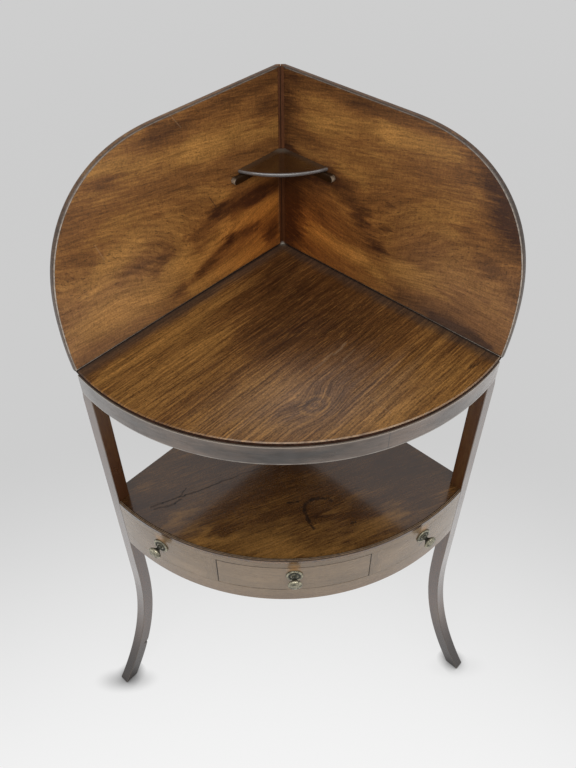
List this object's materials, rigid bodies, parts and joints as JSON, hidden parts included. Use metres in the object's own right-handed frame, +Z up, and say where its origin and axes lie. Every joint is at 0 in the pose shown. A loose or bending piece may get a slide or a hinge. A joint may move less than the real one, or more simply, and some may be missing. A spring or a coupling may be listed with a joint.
{
  "type": "corner washstand",
  "caption": "Bow-fronted mahogany corner washstand: arched splash panels with a small corner shelf, solid top, lower tier with a drawer between dummy fronts, sabre legs.",
  "frame": {"origin": "centre of the back leg's foot, on the floor", "axes": "+Z up; -Y is the bowed front and the way the drawer opens; +X is the right-hand side seen from the front; the two walls of the room's corner run at 45 degrees from the back leg"},
  "size_m": [0.7196, 0.46, 1.1197],
  "materials": {
    "mahogany_top": "old French-polished mahogany with long straight grain, worn pale at the front edge",
    "mahogany_panel": "golden brown polished mahogany with flame figure, darker towards the corner",
    "mahogany_frieze": "glossy red-brown mahogany veneer with fine grain along the bow",
    "mahogany_shelf": "dark polished mahogany with a bright rounded nose",
    "mahogany_tier": "polished mahogany with a crack, water rings and dark stains",
    "mahogany_leg": "dark polished mahogany with straight grain down the leg",
    "oak_lining": "dry unpolished oak drawer lining",
    "deal": "unpolished old deal, browned with age",
    "old_brass": "turned brass with dark patina and rubbed high spots",
    "iron": "old iron wood screws"
  },
  "bodies": {
    "stand": {"top_board": "mahogany_top", "top_frieze": "mahogany_frieze", "top_back_rail_left": "deal", "top_back_rail_right": "deal", "glue_block_left": "deal", "glue_block_middle": "deal", "glue_block_right": "deal", "splash_panel_left": "mahogany_panel", "splash_panel_right": "mahogany_panel", "splash_screw_left_1": "iron", "splash_screw_left_2": "iron", "splash_screw_right_1": "iron", "splash_screw_right_2": "iron", "corner_fillet": "mahogany_panel", "corner_shelf": "mahogany_shelf", "shelf_bearer_left": "mahogany_shelf", "shelf_bearer_right": "mahogany_shelf", "front_leg_left": "mahogany_leg", "front_leg_right": "mahogany_leg", "back_leg": "mahogany_leg", "tier_board": "mahogany_tier", "tier_bead": "mahogany_tier", "tier_top_rail": "mahogany_frieze", "tier_bottom_rail": "mahogany_frieze", "tier_back_rail_left": "deal", "tier_back_rail_right": "deal", "drawer_stile_left": "mahogany_frieze", "drawer_stile_right": "mahogany_frieze", "dummy_front_left": "mahogany_frieze", "dummy_front_right": "mahogany_frieze", "drawer_runner_left": "deal", "drawer_runner_right": "deal", "drawer_guide_left": "deal", "drawer_guide_right": "deal", "drawer_kicker_left": "deal", "drawer_kicker_right": "deal", "drawer_stop_left": "deal", "drawer_stop_right": "deal", "knob_plate_left": "old_brass", "knob_left": "old_brass", "knob_nut_left": "old_brass", "knob_plate_right": "old_brass", "knob_right": "old_brass", "knob_nut_right": "old_brass"},
    "drawer": {"drawer_front": "mahogany_frieze", "drawer_side_left": "oak_lining", "drawer_side_right": "oak_lining", "drawer_back": "oak_lining", "drawer_bottom": "oak_lining", "knob_plate_drawer": "old_brass", "knob_drawer": "old_brass", "knob_nut_drawer": "old_brass"}
  },
  "joints": [
    {"name": "drawer_slide", "type": "slide", "parent": "stand", "child": "drawer", "axis": [0, -1, 0], "range_m": [0, 0.18]}
  ]
}
